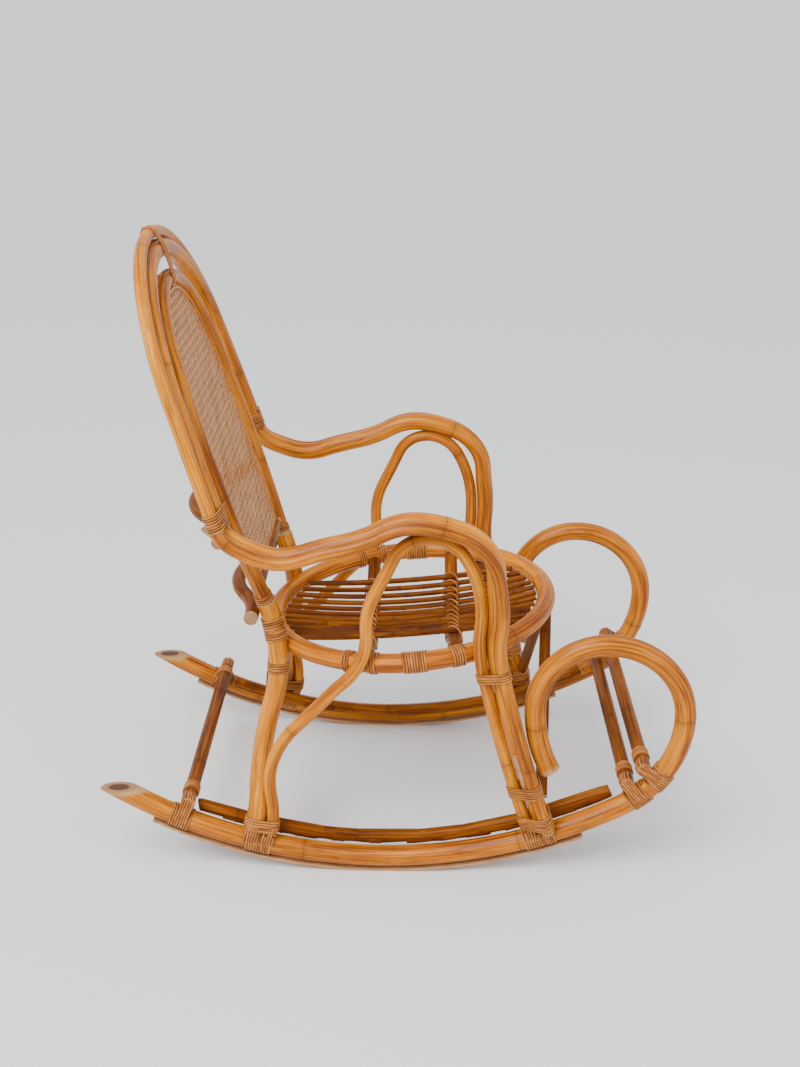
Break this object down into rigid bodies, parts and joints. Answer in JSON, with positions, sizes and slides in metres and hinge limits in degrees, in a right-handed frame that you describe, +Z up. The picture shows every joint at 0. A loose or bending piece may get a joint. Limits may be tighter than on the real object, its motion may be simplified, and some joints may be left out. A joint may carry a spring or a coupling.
{
  "type": "rattan rocking chair",
  "caption": "Bent-rattan rocking chair with curled runners, round rod seat, looped arms and a hooped back holding a woven cane panel.",
  "frame": {"origin": "middle of the overall length and width, on the floor", "axes": "+X towards the front of the chair, +Y to the sitter's left, +Z up"},
  "size_m": [0.9784, 0.6054, 1.0414],
  "materials": {
    "rattan": "satin lacquer over golden rattan",
    "rim_rattan": "satin lacquer over orange-brown rattan",
    "thin_rattan": "satin lacquer over golden rattan",
    "brown_rattan": "satin lacquer over brown rattan",
    "rod_rattan": "satin lacquer over dark brown rattan core",
    "binding": "satin reddish-brown flat cane",
    "split_cane": "satin split cane",
    "cane": "satin tan woven cane",
    "nails": "dull steel"
  },
  "bodies": {
    "root": {"right_runner": "rattan", "right_arm": "rattan", "right_arm_trim": "rattan", "right_rear_leg": "rattan", "right_arm_brace": "thin_rattan", "right_rail": "brown_rattan", "right_front_prop": "brown_rattan", "right_rear_prop": "brown_rattan", "right_wear_strip": "split_cane", "left_runner": "rattan", "left_arm": "rattan", "left_arm_trim": "rattan", "left_rear_leg": "rattan", "left_arm_brace": "thin_rattan", "left_rail": "brown_rattan", "left_front_prop": "brown_rattan", "left_rear_prop": "brown_rattan", "left_wear_strip": "split_cane", "strip_nails": "nails", "back_hoop": "rattan", "back_trim": "rattan", "panel_hoop": "rattan", "seat_rim": "rim_rattan", "cane_bead": "thin_rattan", "rear_stretcher": "brown_rattan", "front_stretcher": "brown_rattan", "toe_stretcher": "brown_rattan", "rear_crossbar": "brown_rattan", "front_crossbar": "brown_rattan", "panel_bottom_rail": "brown_rattan", "upper_back_bow": "brown_rattan", "lower_back_bow": "brown_rattan", "seat_rod_01": "rod_rattan", "seat_rod_02": "rod_rattan", "seat_rod_03": "rod_rattan", "seat_rod_04": "rod_rattan", "seat_rod_05": "rod_rattan", "seat_rod_06": "rod_rattan", "seat_rod_07": "rod_rattan", "seat_rod_08": "rod_rattan", "seat_rod_09": "rod_rattan", "seat_rod_10": "rod_rattan", "seat_rod_11": "rod_rattan", "cane_panel": "cane", "right_leg_peg": "split_cane", "rear_stretcher_bindings": "binding", "front_stretcher_bindings": "binding", "toe_stretcher_bindings": "binding", "rear_foot_bindings": "binding", "front_foot_bindings": "binding", "front_leg_bindings": "binding", "front_rim_bindings": "binding", "rim_brace_bindings": "binding", "rim_bindings": "binding", "rear_rim_bindings": "binding", "lower_bow_bindings": "binding", "panel_corner_bindings": "binding", "splice_bindings": "binding", "apex_binding": "binding", "rod_stitching": "binding"}
  },
  "joints": []
}
